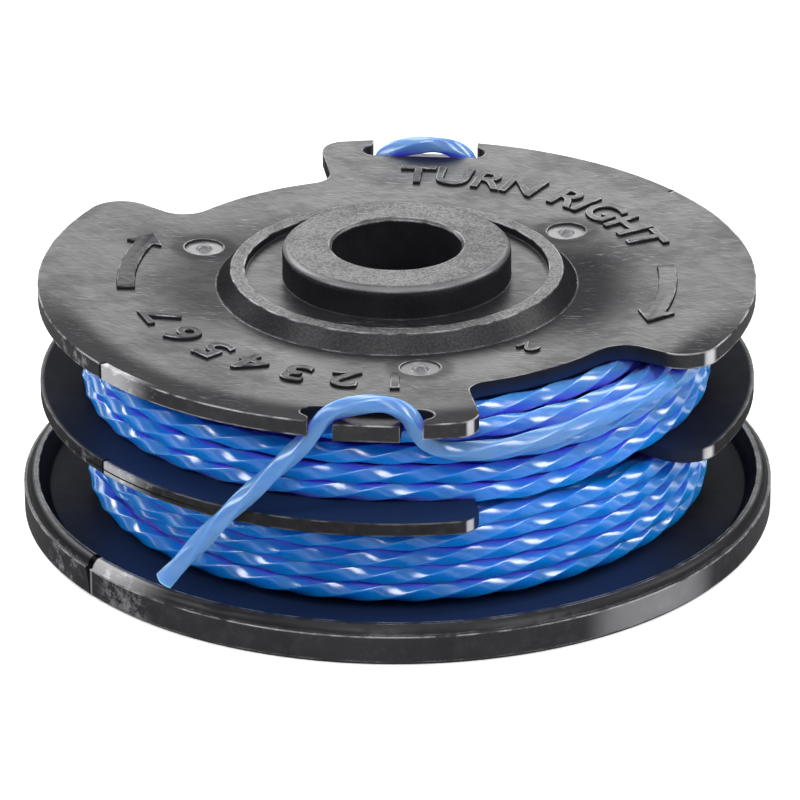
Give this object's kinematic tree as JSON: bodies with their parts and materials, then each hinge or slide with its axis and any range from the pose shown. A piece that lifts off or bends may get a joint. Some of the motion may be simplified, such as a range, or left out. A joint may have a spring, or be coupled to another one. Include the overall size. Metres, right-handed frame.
{
  "type": "trimmer line spool",
  "caption": "Flanged plastic spool wound with twisted nylon cutting line in two chambers, for the head of a grass trimmer.",
  "frame": {"origin": "centre of the lower flange's underside, on the spool's axis", "axes": "+Z along the bore from the lower flange to the boss, -Y towards the front line notch"},
  "size_m": [0.086, 0.086, 0.0318],
  "materials": {
    "spool_plastic": "black glass-filled nylon, moulded, semi-gloss with scuffs",
    "line_nylon": "translucent blue nylon, glossy, twisted"
  },
  "bodies": {
    "root": {"spool_body": "spool_plastic", "upper_line_winding": "line_nylon", "lower_line_winding": "line_nylon", "front_line_tail": "line_nylon", "rear_line_tail": "line_nylon"}
  },
  "joints": []
}
